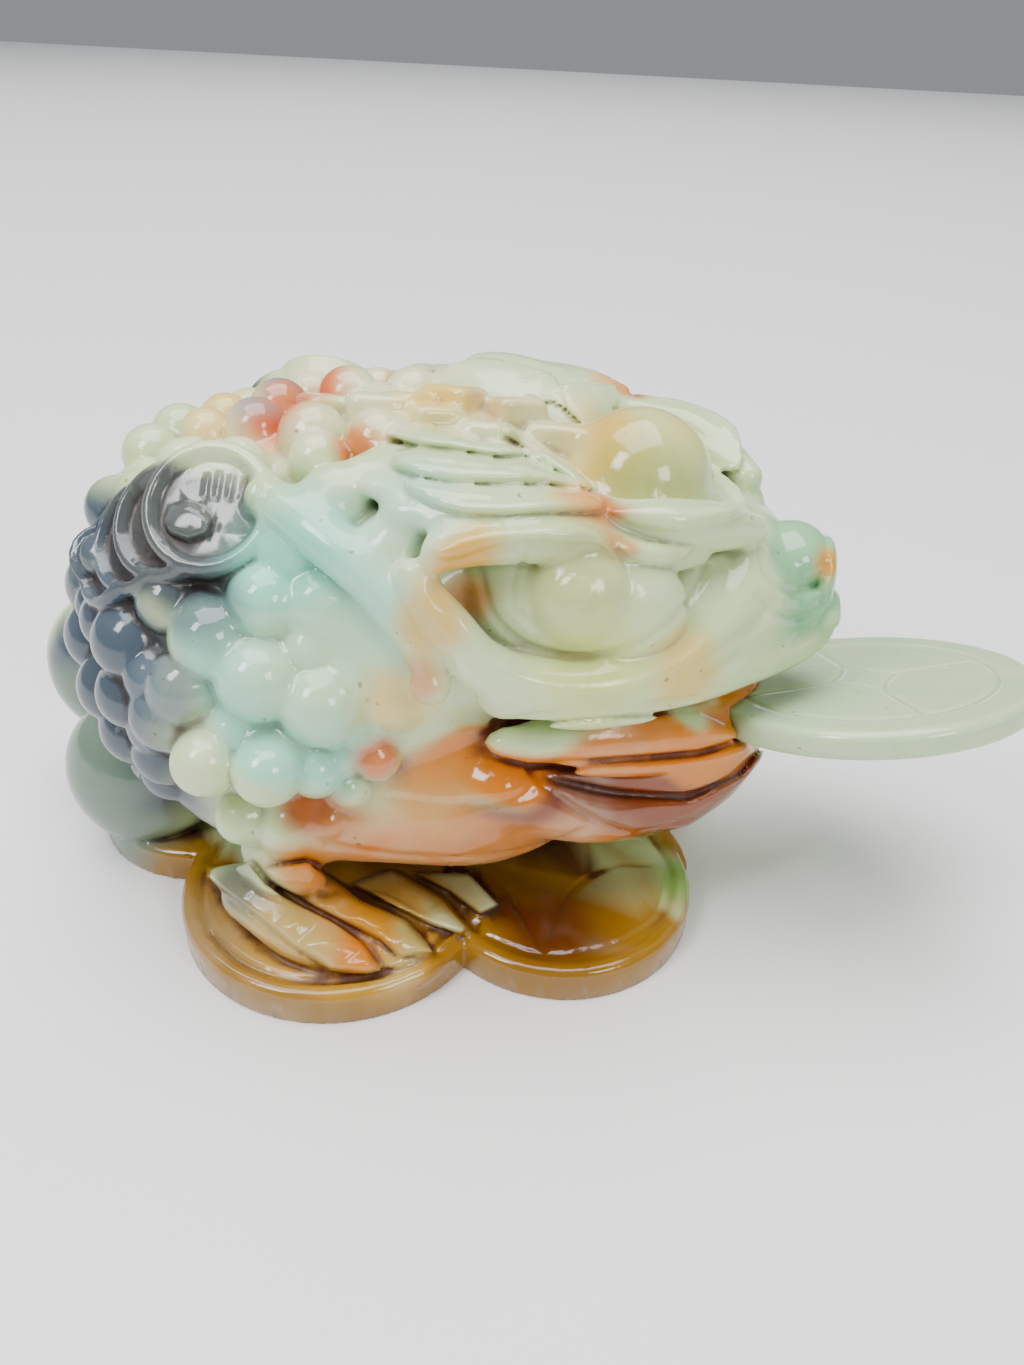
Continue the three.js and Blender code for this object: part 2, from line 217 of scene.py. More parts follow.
class Stone:
    """A distance field in millimetres on an even grid, negative inside, which shapes are joined to and cut from."""

    def __init__(self, low, high, pitch):
        self.low, self.pitch = np.array(low, float), pitch
        self.count = np.ceil((np.array(high) - self.low) / pitch).astype(int) + 1
        self.values = np.full(self.count, FAR, np.float32)

    def window(self, low, high):
        """The part of the grid in a box, as slices, and its coordinates."""
        first = np.clip(np.floor((np.asarray(low) - self.low) / self.pitch).astype(int), 0, self.count)
        last = np.clip(np.ceil((np.asarray(high) - self.low) / self.pitch).astype(int) + 1, 0, self.count)
        part = tuple(slice(a, b) for a, b in zip(first, last))
        axes = [(self.low[i] + self.pitch * np.arange(first[i], last[i])).astype(np.float32) for i in range(3)]
        return part, np.meshgrid(*axes, indexing="ij", sparse=True)

    def join(self, low, high, distance, blend=0.5):
        """Joins distance(x, y, z), which lies between low and high, with a fillet of about blend."""
        part, xyz = self.window(np.asarray(low) - blend - 1, np.asarray(high) + blend + 1)
        self.values[part] = smooth_min(self.values[part], distance(*xyz), blend)

    def cut(self, low, high, distance, blend=0.5):
        part, xyz = self.window(np.asarray(low) - blend - 1, np.asarray(high) + blend + 1)
        self.values[part] = -smooth_min(-self.values[part], distance(*xyz), blend)

    def press(self, low, high, depth):
        """Moves the surface inwards by depth(x, y, z), or outwards where that is negative."""
        part, xyz = self.window(low, high)
        self.values[part] += depth(*xyz).astype(np.float32)

    def sample(self, points):
        """The field at these points, between grid points by trilinear weights."""
        place = np.clip((points - self.low) / self.pitch, 0, self.count - 1.001)
        cell = place.astype(int)
        x, y, z = (place - cell).T
        total = 0
        for dx, wx in ((0, 1 - x), (1, x)):
            for dy, wy in ((0, 1 - y), (1, y)):
                for dz, wz in ((0, 1 - z), (1, z)):
                    total = total + wx * wy * wz * self.values[cell[:, 0] + dx, cell[:, 1] + dy, cell[:, 2] + dz]
        return total

    def ball(self, at, radius, blend=0.5):
        at = np.asarray(at, float)
        self.join(
            at - radius,
            at + radius,
            lambda x, y, z: np.sqrt((x - at[0]) ** 2 + (y - at[1]) ** 2 + (z - at[2]) ** 2) - radius,
            blend,
        )

    def ellipsoid(self, at, radii, blend=0.5, cut=False):
        at, radii = np.asarray(at, float), np.asarray(radii, float)

        def distance(x, y, z):
            p = [(v - at[i]) / radii[i] for i, v in enumerate((x, y, z))]
            near = np.sqrt(p[0] ** 2 + p[1] ** 2 + p[2] ** 2) + 1e-6
            steep = np.sqrt(sum((p[i] / radii[i]) ** 2 for i in range(3))) + 1e-6
            return near * (near - 1) / steep

        (self.cut if cut else self.join)(at - radii, at + radii, distance, blend)

    def lobe(self, path, radii, blend=0.8, flat=1.0, up=(0, 0, 1), spacing=1.6):
        """A round-ended lobe along a smooth path, its radii spread evenly, its section scaled by flat along up."""
        points, along = curve(path, spacing)
        radius = np.interp(along, np.linspace(0, 1, len(radii)), radii)
        up = unit(up)
        reach = radius.max() * max(flat, 1)
        low, high = points.min(0) - reach, points.max(0) + reach
        whole, _ = self.window(low - blend - 1, high + blend + 1)
        nearest = np.full([s.stop - s.start for s in whole], FAR, np.float32)
        for a, b, ra, rb in zip(points[:-1], points[1:], radius[:-1], radius[1:]):
            margin = reach + blend + 1
            part, (x, y, z) = self.window(np.minimum(a, b) - margin, np.maximum(a, b) + margin)
            run = b - a
            t = ((x - a[0]) * run[0] + (y - a[1]) * run[1] + (z - a[2]) * run[2]) / (run @ run)
            t = np.clip(t, 0, 1)
            off = [x - a[0] - t * run[0], y - a[1] - t * run[1], z - a[2] - t * run[2]]
            square = off[0] ** 2 + off[1] ** 2 + off[2] ** 2
            if flat != 1:
                rise = off[0] * up[0] + off[1] * up[1] + off[2] * up[2]
                square = square + rise**2 * (1 / flat**2 - 1)
            distance = (np.sqrt(np.maximum(square, 0)) - (ra + t * (rb - ra))) * min(flat, 1)
            inner = tuple(
                slice(max(p.start - w.start, 0), max(min(p.stop, w.stop) - w.start, 0)) for p, w in zip(part, whole)
            )
            shift = tuple(slice(max(w.start - p.start, 0), max(min(p.stop, w.stop) - p.start, 0)) for p, w in zip(part, whole))
            np.minimum(nearest[inner], distance[shift], out=nearest[inner])
        self.values[whole] = smooth_min(self.values[whole], nearest, blend)

    def disc(self, at, face, radius, thickness, edge, blend=0.5, cut=False):
        """A round-edged disc. at is its middle and face the way that its axis points."""
        at, face = np.asarray(at, float), unit(face)

        def distance(x, y, z):
            p = [x - at[0], y - at[1], z - at[2]]
            rise = p[0] * face[0] + p[1] * face[1] + p[2] * face[2]
            spread = np.sqrt(np.maximum(p[0] ** 2 + p[1] ** 2 + p[2] ** 2 - rise**2, 0))
            out, over = spread - radius + edge, np.abs(rise) - thickness / 2 + edge
            outside = np.sqrt(np.maximum(out, 0) ** 2 + np.maximum(over, 0) ** 2)
            return outside + np.minimum(np.maximum(out, over), 0) - edge

        reach = radius + thickness
        (self.cut if cut else self.join)(at - reach, at + reach, distance, blend)

    def line(self, points, width, depth, sharp=1.0):
        """Presses a groove of this full width along points, or raises a ridge where depth is negative."""
        half = width / 2
        for a, b in zip(points[:-1], points[1:]):
            run = b - a
            length = run @ run
            if not 1e-6 < length < (4 * max(width, 1)) ** 2:
                continue
            part, (x, y, z) = self.window(np.minimum(a, b) - half - 0.2, np.maximum(a, b) + half + 0.2)
            t = np.clip(((x - a[0]) * run[0] + (y - a[1]) * run[1] + (z - a[2]) * run[2]) / length, 0, 1)
            away = np.sqrt(
                (x - a[0] - t * run[0]) ** 2 + (y - a[1] - t * run[1]) ** 2 + (z - a[2] - t * run[2]) ** 2
            )
            profile = depth * np.maximum(1 - away / half, 0) ** sharp
            pressed = self.pressed[part]
            self.pressed[part] = np.where(np.abs(profile) > np.abs(pressed), profile, pressed)

    def engrave(self, lines, width, depth, sharp=1.0):
        """Presses lines, each a run of points, all as deep as the deepest, so that they don't add up where they meet."""
        self.pressed = np.zeros(self.count, np.float32)
        for points in lines:
            self.line(np.asarray(points, float), width, depth, sharp)
        self.values += self.pressed
        del self.pressed

    def seat(self, pixels, lift=0.0):
        """Where the camera's sight through each of these pixels of the photograph first meets the stone."""
        rays = sight(pixels)
        reach = np.arange(70, 300, 2 * self.pitch)
        found = np.full(len(rays), np.nan)
        for i, ray in enumerate(rays):
            along = CAMERA_AT + reach[:, None] * ray
            inside = np.all((along > self.low) & (along < self.low + self.pitch * (self.count - 1)), axis=1)
            values = np.where(inside, self.sample(along), FAR)
            hits = np.nonzero(values < 0)[0]
            if len(hits) and hits[0] > 0:
                k = hits[0]
                share = values[k - 1] / (values[k - 1] - values[k])
                found[i] = reach[k - 1] + share * (reach[k] - reach[k - 1])
        return CAMERA_AT + (found - lift)[:, None] * rays

    def trace(self, pixels, step=6.0):
        """A smooth line drawn over the photograph, laid on the stone, as runs of points that stay on one surface."""
        drawn, _ = curve(np.asarray(pixels, float), step)
        laid = self.seat(drawn)
        runs, run = [], []
        for point in laid:
            if np.isnan(point).any() or (run and np.linalg.norm(point - run[-1]) > 5):
                if len(run) > 1:
                    runs.append(np.array(run))
                run = []
            if not np.isnan(point).any():
                run.append(point)
        if len(run) > 1:
            runs.append(np.array(run))
        return runs

    def pillow(self, outline, height, soft, crown=0.5):
        """Raises the stone inside an outline drawn over the photograph, and in its mirror image on the far side.

        The rise grows from nothing at the outline to height at a distance soft inside it, as a round crown at 0.5
        and as straight slopes at 1. A negative height sinks it.
        """
        closed = list(outline) + [outline[0]]
        edge = np.vstack([curve(closed[i : i + 2], 9)[0][:-1] for i in range(len(outline))])
        laid = self.seat(edge)
        laid = laid[~np.isnan(laid).any(axis=1)]
        if not len(laid):
            return
        right, up, forward = camera_axes()
        for side in (1, -1):
            corners = laid * (side, 1, 1)
            part, axes = self.window(corners.min(0) - 2, corners.max(0) + 2)
            near = np.nonzero(np.abs(self.values[part]) < 3)
            spots = np.stack([axes[i].ravel()[near[i]] for i in range(3)], axis=1) * (side, 1, 1) - CAMERA_AT
            away = spots @ forward
            u = FRAME_WIDTH / 2 + FOCAL_PIXELS * (spots @ right) / away
            v = FRAME_HEIGHT / 2 - FOCAL_PIXELS * (spots @ up) / away
            inside = np.zeros(len(u), bool)
            least = np.full(len(u), np.inf)
            for (ax, ay), (bx, by) in zip(closed[:-1], closed[1:]):
                crosses = (ay > v) != (by > v)
                inside ^= crosses & (u < ax + (bx - ax) * (v - ay) / ((by - ay) or 1))
                t = np.clip(((u - ax) * (bx - ax) + (v - ay) * (by - ay)) / ((bx - ax) ** 2 + (by - ay) ** 2), 0, 1)
                least = np.minimum(least, np.hypot(u - ax - t * (bx - ax), v - ay - t * (by - ay)))
            share = np.clip(least * away / FOCAL_PIXELS / soft, 0, 1) * inside
            rise = share if crown == 1 else np.sqrt(share * (2 - share))
            part_values = self.values[part]
            part_values[near] -= (height * rise).astype(np.float32)

    def etch(self, drawings, width, depth, sharp=1.0, both=True):
        """Engraves lines drawn over the photograph, and the same lines on the side that it doesn't show."""
        runs = [run for pixels in drawings for run in self.trace(pixels)]
        if both:
            runs += [run * (-1, 1, 1) for run in runs]
        self.engrave(runs, width, depth, sharp)

    def mesh(self, name, triangles):
        """The surface as a closed, smooth-shaded mesh object in metres of at most this many triangles."""
        grid = openvdb.FloatGrid()
        grid.background = FAR
        self.values[[0, -1], :, :] = FAR
        self.values[:, [0, -1], :] = FAR
        self.values[:, :, [0, -1]] = FAR
        grid.copyFromArray(np.clip(self.values, -FAR, FAR))
        points, quads = largest_shell(*grid.convertToQuads(isovalue=0.0))
        points = (points * self.pitch + self.low) * MM
        me = bpy.data.meshes.new(name)
        me.from_pydata(points.tolist(), [], quads.tolist())
        piece = bpy.data.objects.new(name, me)
        bpy.context.scene.collection.objects.link(piece)
        share = triangles / (2 * len(quads))
        if share < 1:
            thin = piece.modifiers.new("thin", "DECIMATE")
            thin.ratio = share
            thinned = bpy.data.meshes.new_from_object(piece.evaluated_get(bpy.context.evaluated_depsgraph_get()))
            piece.modifiers.remove(thin)
            piece.data = thinned
            bpy.data.meshes.remove(me)
        piece.data.validate()
        piece.data.shade_smooth()
        print(name, len(quads), "quads,", len(piece.data.polygons), "faces kept")
        return piece


def on_shell(height, angle):
    """The point of the warts' shell on the left flank at a height and an angle round the body."""
    at, radii = WART_SHELL["at"], WART_SHELL["radii"]
    slice_size = math.sqrt(max(1 - ((height - at[2]) / radii[2]) ** 2, 0.05))
    a = math.radians(angle)
    return (at[0] + radii[0] * slice_size * math.cos(a), at[1] + radii[1] * slice_size * math.sin(a), height)


def carve_masses(stone):
    """The body and the head as plain masses."""
    for mass, blend in ((BODY, 4), (CHEST, 5), (NECK, 6), (SKULL, 4), (SNOUT, 4)):
        stone.ellipsoid(mass["at"], mass["radii"], blend)
    stone.ellipsoid(JAW["at"], JAW["radii"], 2)
    for side in (-1, 1):
        stone.ellipsoid(mirrored(FLANK["at"], side), FLANK["radii"], 4)
        stone.ellipsoid(mirrored(SOCKET["at"], side), SOCKET["radii"], 2, cut=True)


def carve_warts(stone):
    """The round warts that cover the flanks, the rump and the back."""
    rows = [(height, warts) for height, warts in FLANK_WARTS.items()]
    for row, height in enumerate(RUMP_WARTS["heights"]):
        first = RUMP_WARTS["start"] + (row % 2) * RUMP_WARTS["step"] / 2
        angles = np.arange(first, RUMP_WARTS["stop"], RUMP_WARTS["step"])
        rows.append((height, [(a, RUMP_WARTS["radius"] - 0.7 * ((i + row) % 3)) for i, a in enumerate(angles)]))
    for side in (-1, 1):
        for height, warts in rows:
            for angle, radius in warts:
                stone.ball(mirrored(on_shell(height, angle), side), radius * 1.12, 1.0 if angle < 14 else 0.4)
        for at, radius in BACK_WARTS:
            stone.ball(mirrored(at, side), radius, 0.6)
    for place, (_, radius) in zip(stone.seat([pixel for pixel, _ in LOW_WARTS]), LOW_WARTS):
        if np.isnan(place).any():
            continue
        middle = place + unit(place - CAMERA_AT) * radius * 0.3
        for side in (-1, 1):
            stone.ball(middle * (side, 1, 1), radius, 0.4)


def carve_strings(stone):
    """The coins strung on the back, each with a rolled rim, their cord and its beads."""
    for side in (-1, 1):
        for coin in STRUNG_COINS:
            at, face = np.array(mirrored(coin["at"], side)), unit(mirrored(coin["face"], side))
            stone.disc(at, face, coin["radius"], STRUNG_THICKNESS + 3, 1.4, 0.4)

            def dish(x, y, z):
                p = [x - at[0], y - at[1], z - at[2]]
                rise = sum(p[i] * face[i] for i in range(3))
                spread = np.sqrt(np.maximum(p[0] ** 2 + p[1] ** 2 + p[2] ** 2 - rise**2, 0)) / coin["radius"]
                return 1.5 * np.clip((0.84 - spread) / 0.12, 0, 1) * (rise > 0)

            stone.press(at - coin["radius"] - 1, at + coin["radius"] + 1, dish)
        stone.lobe([mirrored(p, side) for p in CORD], [3, 3.4, 3.2, 2.8, 2.0], 1.4)
        for at, radius, blend in CORD_BEADS:
            stone.ball(mirrored(at, side), radius, blend)


def carve_crest(stone):
    """The blocks of the crest along the spine, cut square with worn edges, each turned its own way."""
    blocks = [
        ((0, 2, 75.6), (7, 5, 4.4), 0.3),
        ((3.5, -9, 76.6), (4.6, 5, 4.2), -0.4),
        ((-3.8, -8, 76), (4, 4.6, 4.0), 0.5),
        ((-4.6, -15.5, 74.8), (3.6, 4, 3.8), -0.2),
        ((3.5, -18.5, 76), (3.8, 4.6, 3.8), 0.6),
        ((0.6, -24.5, 73.4), (4, 4.6, 4), 0.1),
        ((-1, 10, 75.4), (4.2, 3.8, 3.6), 0.7),
        ((6.4, 3, 75.6), (3.2, 3.2, 3.4), 0.2),
        ((-6.4, -2, 75.4), (3.2, 3.4, 3.4), -0.5),
        ((-0.6, -3.4, 77.2), (3.2, 3.0, 3.2), 0.9),
    ]
    for at, radii, turn in blocks:
        cos, sin = math.cos(turn), math.sin(turn)

        def wedge(x, y, z):
            along, across, rise = x - at[0], y - at[1], z - at[2]
            u, v = np.abs(along * cos + across * sin) / radii[0], np.abs(across * cos - along * sin) / radii[1]
            w = np.abs(rise + 0.25 * along) / radii[2]
            return ((u**5 + v**5 + w**5 + 1e-6) ** 0.2 - 0.9) * min(radii)

        reach = np.array([max(radii)] * 3)
        stone.join(np.subtract(at, reach), np.add(at, reach), wedge, 0.8)


def carve_head(stone):
    """The dome, the brows with their locks, the lids, the eyes and the nose."""
    stone.ball(DOME["at"], DOME["radius"], 3.0)
    front = [(21.5, -34, 72.5), (20, -41, 72), (17, -47, 71), (10, -54, 68)]
    locks = [
        ([(22.5, -32, 73), (26, -26, 72.5), (28.5, -19, 73), (29.5, -10, 74.2)], (2.0, 3.3, 3.2, 1.0)),
        ([(21, -30, 74), (24, -22, 74.2), (26, -13, 75.2), (26, -5, 75.6)], (2.0, 3.2, 3.2, 1.0)),
        ([(17.5, -28, 74.2), (19.5, -20, 75.2), (21, -11, 76), (21.5, -3, 76.4)], (2.0, 3.2, 3.2, 1.0)),
        ([(15, -27, 74), (15.6, -20, 75), (16.4, -12, 75.8), (16.6, -5, 76.4)], (1.6, 2.6, 2.6, 0.8)),
    ]
    upper = [(34, -15, 71), (31.5, -21, 72.2), (28.5, -28, 72), (25, -36.5, 69.5), (21.5, -42.4, 68), (17, -47, 67)]
    lower = [
        (34.5, -12, 68),
        (36, -17, 62.5),
        (35.5, -21, 57),
        (33.5, -27, 53.5),
        (30, -36.4, 52.5),
        (23.5, -46, 54),
        (15.5, -53, 59.5),
        (10, -54.5, 64.5),
    ]
    for side in (-1, 1):
        look = unit(mirrored(EYE["look"], side))
        middle = np.array(mirrored(EYE["at"], side))
        stone.ellipsoid(mirrored(EYE_WHITE["at"], side), EYE_WHITE["radii"], 0.6)
        stone.ball(middle, EYE["radius"], 0.2)
        stone.lobe([mirrored(p, side) for p in upper], (2.0, 2.6, 2.6, 2.2, 1.6), 0.8, flat=1.1)
        stone.lobe([mirrored(p, side) for p in lower], (2.2, 3.6, 4.2, 3.8, 2.6), 1.6)
        stone.lobe([mirrored(p, side) for p in front], (2.4, 3.4, 3.4, 2.4), 1.0)
        for path, radii in locks:
            stone.lobe([mirrored(p, side) for p in path], radii, 3.5, flat=0.7)
        stone.ellipsoid(mirrored((5.2, -61, 54.6), side), (5, 6, 4.6), 0.5)
        stone.ball(mirrored((11.5, -55.5, 58), side), 4.4, 3.0)
    stone.lobe([(0, -44, 62), (0, -52, 60.5), (0, -60, 58)], (7, 6.4, 5), 2.0, flat=0.8)
    stone.ellipsoid((0, -61.6, 60.2), (6.6, 5.8, 5.2), 0.5)
    stone.ellipsoid((0, -66.6, 57), (6, 2.0, 6.6), 0.3)
    stone.ellipsoid((0, -66.5, 52.4), (6.5, 4.6, 3), 0.4)


def round_front(path):
    """A path from the right side round the front to the left. The path given is its left half, front last."""
    right = [mirrored(p, -1) for p in path]
    return right + list(path[:-1])[::-1]


def carve_lips(stone):
    """The mouth between its lips, and the folds of the chin and the throat."""
    upper = [(34, -24, 52.5), (28.5, -36.5, 51.5), (21, -48, 50.5), (15, -54.5, 50), (7, -62.5, 49.5), (0, -66.5, 49.5)]
    lower = [(31.5, -23, 42), (28, -31.5, 41.5), (22.5, -42, 40), (16, -50, 37.5), (9, -56, 34), (0, -59, 32.5)]
    throat = [(29, -23, 32), (22, -36, 26), (13, -48, 23.5), (0, -55, 24.5)]
    for path, radii, blend in (
        (throat, (5, 6.4, 6, 5.4, 6, 6.4, 5), 2.5),
        (lower, (1.6, 4.4, 4.8, 4.6, 4.4, 4.6, 4.8, 4.4, 1.6), 1.6),
        (upper, (3.8, 4.6, 4.2, 3.6, 4.2, 4.6, 3.8), 1.2),
    ):
        stone.lobe(round_front(path), radii, blend)
    stone.ellipsoid(MOUTH["at"], MOUTH["radii"], 1.0, cut=True)


def carve_legs(stone):
    """The forelegs with their toes, the hind legs and the tail."""
    stone.ellipsoid((0, 52.5, 25), (10, 12, 14), 1.5)
    for side in (-1, 1):
        stone.lobe([mirrored(p, side) for p in [(34, 4, 28), (35.5, 8, 19)]], (6, 5), 3.0)
        stone.ellipsoid(mirrored((16, 41, 15), side), (11, 13, 14), 1.5)
        foot = [(36, 12, 11), (38.4, 3, 7.6), (39, -5, 5.6), (39, -12, 4.4)]
        stone.lobe([mirrored(p, side) for p in foot], (6.6, 7.2, 6.8, 5.2), 0.8, flat=0.55)


def carve_bed(stone):
    """The bed of overlapping coins, rounded at the rim, with a ring engraved in the front and middle coins of each
    side.
    """
    height, bevel = BED["height"], BED["bevel"]
    rx, ry = BED["core"]
    reach = 52

    def outline(x, y):
        core = np.sqrt(((x - BED["core_at"][0]) / rx) ** 2 + ((y - BED["core_at"][1]) / ry) ** 2)
        flat = (core - 1) * rx
        for (cx, cy), radius in BED_COINS:
            for side in (-1, 1):
                flat = np.minimum(flat, np.hypot(x - cx * side, y - cy) - radius)
        return flat

    def slab(x, y, z):
        out, over = outline(x, y) + bevel, z - height + bevel
        outside = np.sqrt(np.maximum(out, 0) ** 2 + np.maximum(over, 0) ** 2)
        return outside + np.minimum(np.maximum(out, over), 0) - bevel

    stone.join((-reach, -58, -1), (reach, 56, height), slab, 0.5)
    for (cx, cy), radius in BED_COINS[:2]:
        for side in (-1, 1):
            around = np.linspace(0, 2 * math.pi, 61)
            ring = radius - BED_RING["inset"]
            points = np.stack(
                [cx * side + ring * np.cos(around), cy + ring * np.sin(around), np.full(61, height)], axis=1
            )
            stone.engrave([points], BED_RING["width"] * 2, BED_RING["depth"])


# Leaves, folds and pads of the carving, outlined over the photograph in its pixels
BROW_LEAVES = [
    [(605, 510), (630, 504), (663, 503), (696, 506), (729, 503), (751, 501), (742, 513), (715, 524), (683, 532)]
    + [(653, 529), (630, 523), (614, 516)],
    [(604, 500), (584, 490), (545, 486), (508, 486), (456, 485), (420, 478), (402, 480), (410, 493), (433, 506)]
    + [(466, 515), (505, 515), (548, 512), (584, 512), (605, 511)],
    [(597, 490), (558, 472), (525, 457), (499, 459), (459, 452), (420, 447), (394, 450), (392, 466), (420, 477)]
    + [(456, 483), (508, 484), (545, 484), (584, 489)],
    [(558, 470), (531, 452), (508, 441), (482, 441), (456, 432), (426, 424), (396, 420), (384, 436), (420, 446)]
    + [(459, 450), (499, 456), (525, 456)],
    [(507, 425), (518, 428), (541, 442), (571, 465), (597, 490), (584, 487), (554, 469), (525, 449), (504, 434)],
]
LID_LEAVES = [
    [(435, 558), (431, 549), (456, 536), (485, 529), (518, 527), (548, 524), (584, 524), (597, 531), (610, 544)]
    + [(617, 557), (597, 544), (564, 544), (541, 541), (508, 544), (482, 550), (462, 558), (446, 560)],
    [(615, 544), (637, 541), (663, 544), (696, 547), (686, 559), (663, 566), (643, 563), (627, 558)],
]
JAW_FOLDS = [
    [(484, 742), (500, 728), (560, 722), (640, 716), (700, 712), (735, 728), (745, 738), (700, 750), (616, 757)]
    + [(529, 764), (500, 757)],
    [(544, 776), (600, 764), (700, 755), (748, 742), (755, 752), (720, 783), (685, 795), (622, 792)],
    [(540, 782), (600, 795), (685, 800), (740, 775), (765, 745), (768, 760), (735, 800), (690, 828), (637, 834)]
    + [(604, 823), (568, 804)],
]
TOES = [
    [(206, 865), (250, 863), (269, 885), (300, 904), (335, 922), (363, 942), (381, 970), (366, 974), (331, 970)]
    + [(289, 944), (267, 924), (206, 878)],
    [(262, 868), (309, 862), (343, 886), (361, 900), (405, 919), (433, 952), (400, 957), (380, 940), (335, 918)]
    + [(300, 900), (272, 880)],
    [(350, 884), (392, 868), (444, 898), (474, 933), (466, 937), (430, 925), (396, 908)],
    [(410, 872), (470, 872), (500, 905), (480, 915), (450, 893)],
]
TOE_PADS = [
    [(270, 925), (296, 909), (319, 922), (291, 943)],
    [(293, 945), (322, 924), (366, 946), (339, 963), (309, 957)],
    [(342, 965), (368, 947), (381, 970), (366, 974)],
    [(273, 877), (309, 866), (340, 887), (313, 904)],
    [(315, 906), (343, 889), (359, 900), (335, 916)],
    [(337, 918), (361, 902), (398, 922), (385, 935), (379, 939)],
    [(385, 938), (405, 920), (433, 952), (394, 952)],
    [(396, 887), (418, 885), (444, 900), (420, 913), (414, 904)],
    [(421, 914), (445, 899), (474, 933), (466, 936), (433, 924)],
]

# Lines of the carving, drawn over the photograph in its pixels, and cut where the camera sees them on the stone
LOCK_STRIATIONS = [
    [(424, 470), (470, 479), (530, 480), (575, 486)],
    [(440, 496), (490, 500), (540, 498), (590, 502)],
    [(410, 458), (460, 464), (520, 470), (560, 480)],
    [(430, 436), (480, 446), (520, 450)],
    [(400, 430), (440, 438), (490, 448)],
]
LID_CREASES = [
    [(479, 570), (490, 610), (512, 636), (548, 652), (590, 656), (640, 642), (684, 606), (708, 566)],
]
CHEEK_CREASES = [
    [(436, 590), (448, 620), (470, 655), (505, 684), (560, 702), (620, 700), (690, 672), (748, 628), (776, 600)],
    [(402, 580), (420, 612), (440, 640), (448, 664)],
]
EYE_FOLDS = [[(527, 556), (513, 580), (516, 606), (534, 628)]]
NOSE_CREASES = [
    [(760, 548), (766, 572), (780, 588), (800, 592), (820, 582), (830, 566)],
    [(758, 596), (768, 608), (788, 619), (808, 616), (826, 598)],
]
LIP_CREASES = [
    [(496, 722), (540, 716), (600, 709), (660, 704), (694, 700)],
    [(529, 766), (570, 762), (616, 759), (660, 757), (700, 752), (745, 738)],
    [(544, 776), (580, 786), (622, 792), (685, 794), (720, 782)],
    [(532, 772), (568, 804), (604, 823), (637, 832), (690, 820)],
]
BELLY_CREASES = [
    [(330, 846), (400, 856), (470, 858), (540, 846), (586, 830)],
    [(392, 800), (450, 806), (510, 800), (530, 790)],
]
TOE_CREASES = [
    [(254, 865), (269, 885), (300, 904), (335, 922), (363, 942), (384, 966)],
    [(313, 865), (357, 892), (396, 911), (418, 926), (437, 952)],
    [(392, 868), (440, 890), (478, 930)],
]
BED_RINGS = [
    [(210, 933), (236, 959), (265, 974), (298, 982), (344, 981), (385, 974), (418, 963), (451, 946), (479, 922)],
]
BED_LINES = [
    [(544, 951), (528, 926), (511, 900)],
    [(544, 951), (568, 894), (610, 867), (649, 865)],
    [(664, 912), (652, 924), (610, 945), (544, 955), (487, 937)],
]


HOOD_PLATE = [(163, 521), (170, 508), (188, 502), (206, 508), (213, 521), (206, 535), (188, 541), (170, 535)]
HOOD_PLEATS = [
    [(207, 476), (205, 496)],
    [(219, 474), (216, 497)],
    [(232, 476), (228, 498)],
    [(245, 480), (240, 500)],
    [(257, 485), (251, 503)],
    [(268, 491), (260, 507)],
    [(196, 504), (206, 514), (217, 527)],
]


def carve_lines(stone):
    """The creases and fine lines of the carving."""
    stone.pillow(HOOD_PLATE, 1.3, 1.2)
    stone.etch(HOOD_PLEATS, 1.1, 0.8)
    for outline in BROW_LEAVES:
        stone.pillow(outline, 1.3, 1.5)
    for outline in LID_LEAVES:
        stone.pillow(outline, 1.3, 1.2)
    for outline in JAW_FOLDS:
        stone.pillow(outline, 1.4, 2.4)
    stone.etch(LID_CREASES, 1.8, 0.9)
    stone.etch(LOCK_STRIATIONS, 0.9, 0.25)
    stone.etch(CHEEK_CREASES, 3.0, 0.7)
    stone.etch(EYE_FOLDS, 1.4, 0.5)
    stone.etch(NOSE_CREASES, 1.8, 0.8)
    stone.etch(LIP_CREASES, 2.2, 1.1)
    stone.etch(BELLY_CREASES, 2.4, 0.6)
    for outline in TOES:
        stone.pillow(outline, 1.6, 0.9)
    for outline in TOE_PADS:
        stone.pillow(outline, 1.1, 2.6, crown=1)
    stone.etch(TOE_CREASES, 1.6, 1.4)
    stone.etch(BED_RINGS, 1.8, 1.2)
    stone.etch(BED_LINES, 1.6, 0.7)
    for side in (-1, 1):
        look = unit(mirrored(EYE["look"], side))
        across = unit(np.cross(look, (0, 0, 1)))
        upward = np.cross(across, look)
        middle = np.array(mirrored(EYE["at"], side)) + look * (EYE["radius"] + 0.2)
        around = np.linspace(0, 2 * math.pi, 33)[:, None]
        for radius, width, depth in ((6.9, 1.4, 0.5), (2.5, 1.0, 0.45), (1.1, 0.8, 0.3)):
            ring = middle + radius * (np.cos(around) * across + np.sin(around) * upward) - look * (radius**2 / 15)
            stone.engrave([ring], width, depth)


def toad_stone(pitch):
    low, high = cad_box_of("toad")
    stone = Stone(np.array(low) - 1.5, np.array(high) + 1.5, pitch)
    carve_masses(stone)
    carve_warts(stone)
    carve_strings(stone)
    carve_crest(stone)
    carve_head(stone)
    carve_lips(stone)
    carve_legs(stone)
    carve_bed(stone)
    carve_lines(stone)
    slot_radius, slot_thickness = COIN["radius"] + MOUTH_GAP, COIN["thickness"] + 2 * MOUTH_GAP
    stone.disc(COIN["at"], COIN["lean"], slot_radius, slot_thickness, COIN["round"], 0.3, cut=True)
    part, (x, y, z) = stone.window(stone.low, (200, 200, 200))
    stone.values = np.maximum(stone.values, -z)
    return stone


